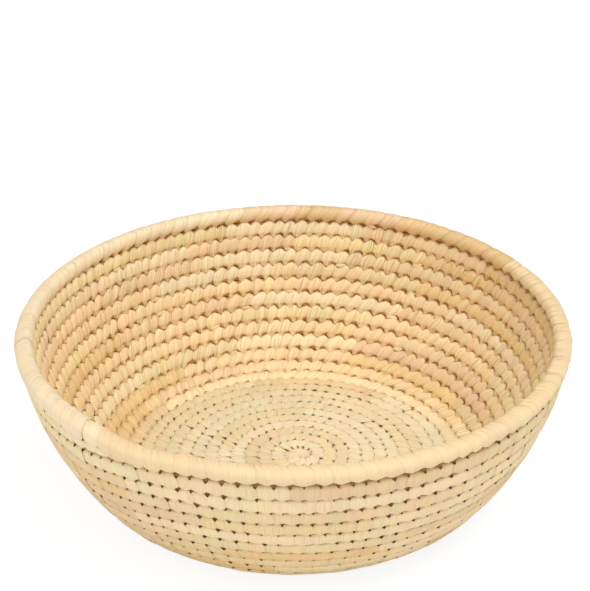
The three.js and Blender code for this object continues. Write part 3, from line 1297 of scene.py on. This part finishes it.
@dataclass
class LeafRows:
    """All the leaf: the stitches of each strip node and the tucked ends of its strips."""

    shape: CoilShape
    loop: LeafLoop
    leaf: bpy.types.Material
    crease_shading: CreaseShade = field(default_factory=CreaseShade)
    stitches_per_strip: int = 12
    kept_tones: float = 0.4
    tone_jitter: float = 0.05
    hue_jitter: float = 0.02
    stitch_jitter: float = 0.025
    base_tones: float = 0.6
    side_tones: float = 0.75
    base_tint: Colour = (0.895, 0.925, 0.97)
    side_tint: Colour = (1.0, 1.0, 1.0)
    rim_tint: Colour = (0.97, 0.96, 1.0)
    pattern_radius: float = 4.4 * MM
    rim_ribbing_loss: float = 0.35
    flat_ribbing_loss: float = 0.5
    outer_ribbing: float = 0.35
    tail_share: float = 0.6
    tail_length: float = 3.6 * MM
    tail_width: float = 1.6 * MM
    tail_thickness: float = 0.42 * MM
    tail_taper: float = 0.55
    tail_tilts: Span = (-12, 24)
    tail_sizes: Span = (0.7, 1.15)
    tail_depth: float = 0.96
    tail_face: float = 0.72
    tail_shade: float = 0.12
    seed: int = 5

    def build(self, stitches: list[Stitch]) -> Iterator[bpy.types.Object]:
        """Makes one piece for each strip node.

        Args:
            stitches: the stitches of the whole basket in their order.

        Yields:
            Each finished piece.
        """
        dice = random.Random(self.seed)
        template = self.loop.template()
        steps = [s.step for s in stitches]
        for node, start, end in self.nodes():
            first = bisect_left(steps, start) if start > self.shape.first_step else 0
            last = bisect_left(steps, end) if end < self.shape.last_step else len(stitches)
            yield self.strip(node, stitches[first:last], template, dice)

    def nodes(self) -> Iterator[tuple[str, int, int]]:
        """Finds the strip nodes along the coil.

        Yields:
            Each node with the steps where it starts and ends.
        """
        first, last = self.shape.first_step, self.shape.last_step
        radius = self.shape.base_radius
        base_end = max(s for s in range(first, last) if self.shape.row(s).distance <= radius)
        rim_start = -self.shape.climb_steps
        stretches = (
            ("base_strip", first, base_end),
            ("side_strip", base_end, rim_start),
            ("rim_strip", rim_start, last),
        )
        for prefix, start, end in stretches:
            names = sorted(name for name in frame["nodes"] if name.startswith(prefix))
            ends = self.shape.strip_ends(start, end, len(names))
            yield from zip(names, ends, ends[1:])

    def strip(
        self,
        node: str,
        stitches: list[Stitch],
        template: bpy.types.Mesh,
        dice: random.Random,
    ) -> bpy.types.Object:
        """Builds the leaf of one node.

        Args:
            node: the node's name.
            stitches: its stitches in order.
            template: the plain ring that each stitch is a copy of.
            dice: the source of all chance.

        Returns:
            The finished piece.
        """
        weave = Weave(node.replace("strip", "leaf"))
        strips = max(1, round(len(stitches) / self.stitches_per_strip))
        slot = Tone(self.slot_of(node))
        tones = [self.strip_tone(node, slot, dice) for _ in range(strips)]
        for i, stitch in enumerate(stitches):
            tone = tones[i * strips // len(stitches)] if stitch.rim < ON_RIM else self.rim_tone(stitch)
            tone = tuple(c * (1 + spread(dice, self.stitch_jitter)) for c in tone)
            self.add_stitch(weave, stitch, template, tone)
        for strip, tone in enumerate(tones):
            if dice.random() < self.tail_share:
                self.add_tail(weave, stitches[math.ceil(strip * len(stitches) / strips)], tone, dice)
        return weave.finished(self.leaf, node, slot.value)

    @staticmethod
    def slot_of(node: str) -> str:
        """Finds the material slot that the record gives a node."""
        rows = frame["record"]["subparts"]
        return next(row["material_slot"] for row in rows if row["node"] == node)

    def rim_tone(self, stitch: Stitch) -> Colour:
        """Finds the colour of the strip that a stitch of the rim is made with.

        Args:
            stitch: the stitch.

        Returns:
            Its colour.
        """
        turn = math.degrees(self.shape.angle(stitch.step)) % 360
        if turn < RIM_RUNS[-1][0] - 360:
            turn += 360
        tone = next(tone for end, tone in RIM_RUNS if turn <= end)
        return tuple(c * t for c, t in zip(TONE_COLOURS[tone], self.rim_tint))

    def strip_tone(self, node: str, slot: Tone, dice: random.Random) -> Colour:
        """Chooses a strip's colour: its node's tone or one of the others, a little varied.

        Args:
            node: the node's name.
            slot: the node's tone in the record.
            dice: the source of all chance.

        Returns:
            The strip's colour.
        """
        if node.startswith("base"):
            kept, shares, strength, tint = 0.0, BASE_SHARES, self.base_tones, self.base_tint
            usual = TONE_COLOURS[Tone.CREAM]
        else:
            kept, shares, strength, tint = self.kept_tones, SIDE_SHARES, self.side_tones, self.side_tint
            usual = TONE_COLOURS[Tone.STRAW]
        tone = dice.choices(list(Tone), shares)[0] if dice.random() > kept else slot
        light = 1 + spread(dice, self.tone_jitter)
        return tuple(
            light * t * between(a, b, strength) * (1 + spread(dice, self.hue_jitter))
            for a, b, t in zip(usual, TONE_COLOURS[tone], tint)
        )

    def add_stitch(
        self,
        weave: Weave,
        stitch: Stitch,
        template: bpy.types.Mesh,
        tone: Colour,
    ) -> None:
        """Bends a copy of the plain ring round the coil.

        Args:
            weave: the mesh that the stitch goes into.
            stitch: the stitch.
            template: the plain ring.
            tone: the stitch's colour.
        """
        ribbing = 1 - self.rim_ribbing_loss * stitch.rim - self.flat_ribbing_loss * stitch.flat
        for vertex in weave.add_mesh(template):
            spot = Spot(vertex[weave.column], vertex[weave.turn])
            vertex.co = self.loop.point(stitch, spot)
            across = spot.column * stitch.width / 2
            place = Vector((across / MM, spot.turn * self.pattern_radius / MM, stitch.seed))
            # Painted shade: darker and browner in the creases, at the foot, on the lower half and on
            # the basket's outside.
            crease_shade = self.crease_shading.depth(stitch, spot)
            weave.paint(vertex, tone, place, crease_shade, ribbing * spot.by_side(self.outer_ribbing))

    def add_tail(self, weave: Weave, stitch: Stitch, tone: Colour, dice: random.Random) -> None:
        """Lays a strip's cut end in the crease under its first stitch, as a thin pointed flake.

        Args:
            weave: the mesh that the flake goes into.
            stitch: the strip's first stitch.
            tone: the strip's colour.
            dice: the source of all chance.
        """
        row = self.shape.row(stitch.step)
        made = bmesh.ops.create_uvsphere(weave.bm, u_segments=8, v_segments=6, radius=1.0)["verts"]
        tilt = math.radians(dice.uniform(*self.tail_tilts))
        size = dice.uniform(*self.tail_sizes)
        for vertex in made:
            across, up, out = vertex.co
            forward = across * self.tail_length * size
            upward = up * self.tail_width * size * (1 - self.tail_taper * across ** 2)
            offset = forward * math.cos(tilt) + upward * math.sin(tilt)
            rise = upward * math.cos(tilt) - forward * math.sin(tilt)
            along = rise - row.half_height * self.tail_depth
            inward = row.half_thickness * self.tail_face + out * self.tail_thickness
            step = stitch.step + offset / self.shape.step_length(stitch.step)
            vertex.co = self.shape.place(self.shape.row(step), step, along, inward)
            place = Vector((upward / MM, forward / MM, stitch.seed))
            # The flake gets a little painted shade, as it lies in the joint under its stitch.
            weave.paint(vertex, tone, place, self.tail_shade)


@dataclass
class Setting:
    """The pale floor, the soft lamps and the camera at the photograph's angle."""

    image_width: float = 590.0
    focal_pixels: float = 1818.7
    camera_distance: float = 975.6 * MM
    camera_tilt: float = math.radians(27.94)
    aim_height: float = 110.4 * MM
    aim_right: float = 0.87 * MM
    sensor_width: float = 36.0
    floor_size: float = 12.0
    floor_colour: Colour = (0.9, 0.9, 0.9)
    shadow_colour: Colour = (0.22, 0.22, 0.22)
    floor_glow: float = 0.86
    world_light: float = 0.50
    white: Colour = (1.0, 1.0, 1.0)
    lamp_size: float = 1.3

    def build(self) -> None:
        """Makes the whole setting."""
        self.add_camera()
        self.add_floor()
        self.add_world()
        self.add_lamp("top_lamp", place=(0.55, -0.3, 1.9), power_w=24.5)
        self.add_lamp("front_lamp", place=(0.2, -1.5, 0.8), power_w=4.5)
        self.add_lamp("side_lamp", place=(-1.3, -0.6, 0.9), power_w=6.2)

    def add_camera(self) -> None:
        """Places the camera so that the basket fills the frame as in the photograph."""
        data = bpy.data.cameras.new("camera")
        data.sensor_fit = "HORIZONTAL"
        data.sensor_width = self.sensor_width
        data.lens = self.focal_pixels * self.sensor_width / self.image_width
        camera = add_object("camera", data)
        back = self.camera_distance * math.cos(self.camera_tilt)
        rise = self.camera_distance * math.sin(self.camera_tilt)
        camera.location = (self.aim_right, -back, self.aim_height + rise)
        camera.rotation_euler = (math.pi / 2 - self.camera_tilt, 0, 0)
        bpy.context.scene.camera = camera

    def add_floor(self) -> None:
        """Lays a wide white floor that keeps the basket's shadow."""
        bm = bmesh.new()
        bmesh.ops.create_grid(bm, x_segments=1, y_segments=1, size=self.floor_size / 2)
        floor = add_object("floor", mesh_from(bm, "floor"))
        nodes = Nodes("white_floor")
        nodes.surface(self.floor_colour, roughness=1.0, specular=0.0)
        shadow = nodes.add("ShaderNodeBsdfDiffuse")
        nodes.feed(self.shadow_colour, shadow.inputs["Color"])
        glow = nodes.add("ShaderNodeEmission")
        nodes.feed(self.floor_glow, glow.inputs["Strength"])
        seen = nodes.add("ShaderNodeAddShader")
        nodes.feed(shadow.outputs["BSDF"], seen.inputs[0])
        nodes.feed(glow.outputs["Emission"], seen.inputs[1])
        surface = nodes.tree.nodes["Material Output"].inputs["Surface"]
        self.show_camera(nodes.tree, nodes.shader.outputs["BSDF"], seen.outputs["Shader"], surface)
        floor.data.materials.append(nodes.finished)

    def add_world(self) -> None:
        """Lights the scene evenly and shows white to the camera."""
        world = bpy.data.worlds.new("white_world")
        world.use_nodes = True
        tree = world.node_tree
        light = tree.nodes["Background"]
        seen = tree.nodes.new("ShaderNodeBackground")
        light.inputs["Strength"].default_value = self.world_light
        for node in (light, seen):
            node.inputs["Color"].default_value = (*self.white, 1.0)
        surface = tree.nodes["World Output"].inputs["Surface"]
        self.show_camera(tree, light.outputs["Background"], seen.outputs["Background"], surface)
        bpy.context.scene.world = world

    @staticmethod
    def show_camera(tree: bpy.types.NodeTree, lit: Socket, seen: Socket, surface: Socket) -> None:
        """Shows one shader to the camera and another to the light.

        Args:
            tree: the material's or the world's nodes.
            lit: the shader that the light meets.
            seen: the shader that the camera sees.
            surface: the output's socket.
        """
        path = tree.nodes.new("ShaderNodeLightPath")
        pick = tree.nodes.new("ShaderNodeMixShader")
        tree.links.new(path.outputs["Is Camera Ray"], pick.inputs["Fac"])
        tree.links.new(lit, pick.inputs[1])
        tree.links.new(seen, pick.inputs[2])
        tree.links.new(pick.outputs["Shader"], surface)

    def add_lamp(self, name: str, place: tuple[float, float, float], power_w: float) -> None:
        """Adds a square lamp that faces the basket.

        Args:
            name: the lamp's name.
            place: where it hangs.
            power_w: its power in watts.
        """
        data = bpy.data.lights.new(name, "AREA")
        data.shape = "SQUARE"
        data.size = self.lamp_size
        data.energy = power_w
        lamp = add_object(name, data)
        lamp.location = place
        aim = Vector((0, 0, self.aim_height / 2)) - Vector(place)
        lamp.rotation_euler = aim.to_track_quat("-Z", "Y").to_euler()


def main() -> None:
    """Builds the setting and every piece of the basket."""
    logging.basicConfig(level=logging.INFO, format="%(name)s: %(message)s")
    bpy.context.scene.view_settings.view_transform = "Standard"
    Setting().build()
    shape = CoilShape()
    leaf = LeafFinish().material()
    stitches = Sewing(shape).stitches()
    LOG.info("%d stitches", len(stitches))
    bundle = FoundationCoil(shape).build()
    LOG.info("%s, %d faces", bundle.name, len(bundle.data.polygons))
    knot = StartKnot(shape, leaf).build()
    LOG.info("%s, %d faces", knot.name, len(knot.data.polygons))
    for piece in LeafRows(shape, LeafLoop(shape), leaf).build(stitches):
        LOG.info("%s, %d faces", piece.name, len(piece.data.polygons))


if __name__ == "__main__":
    main()
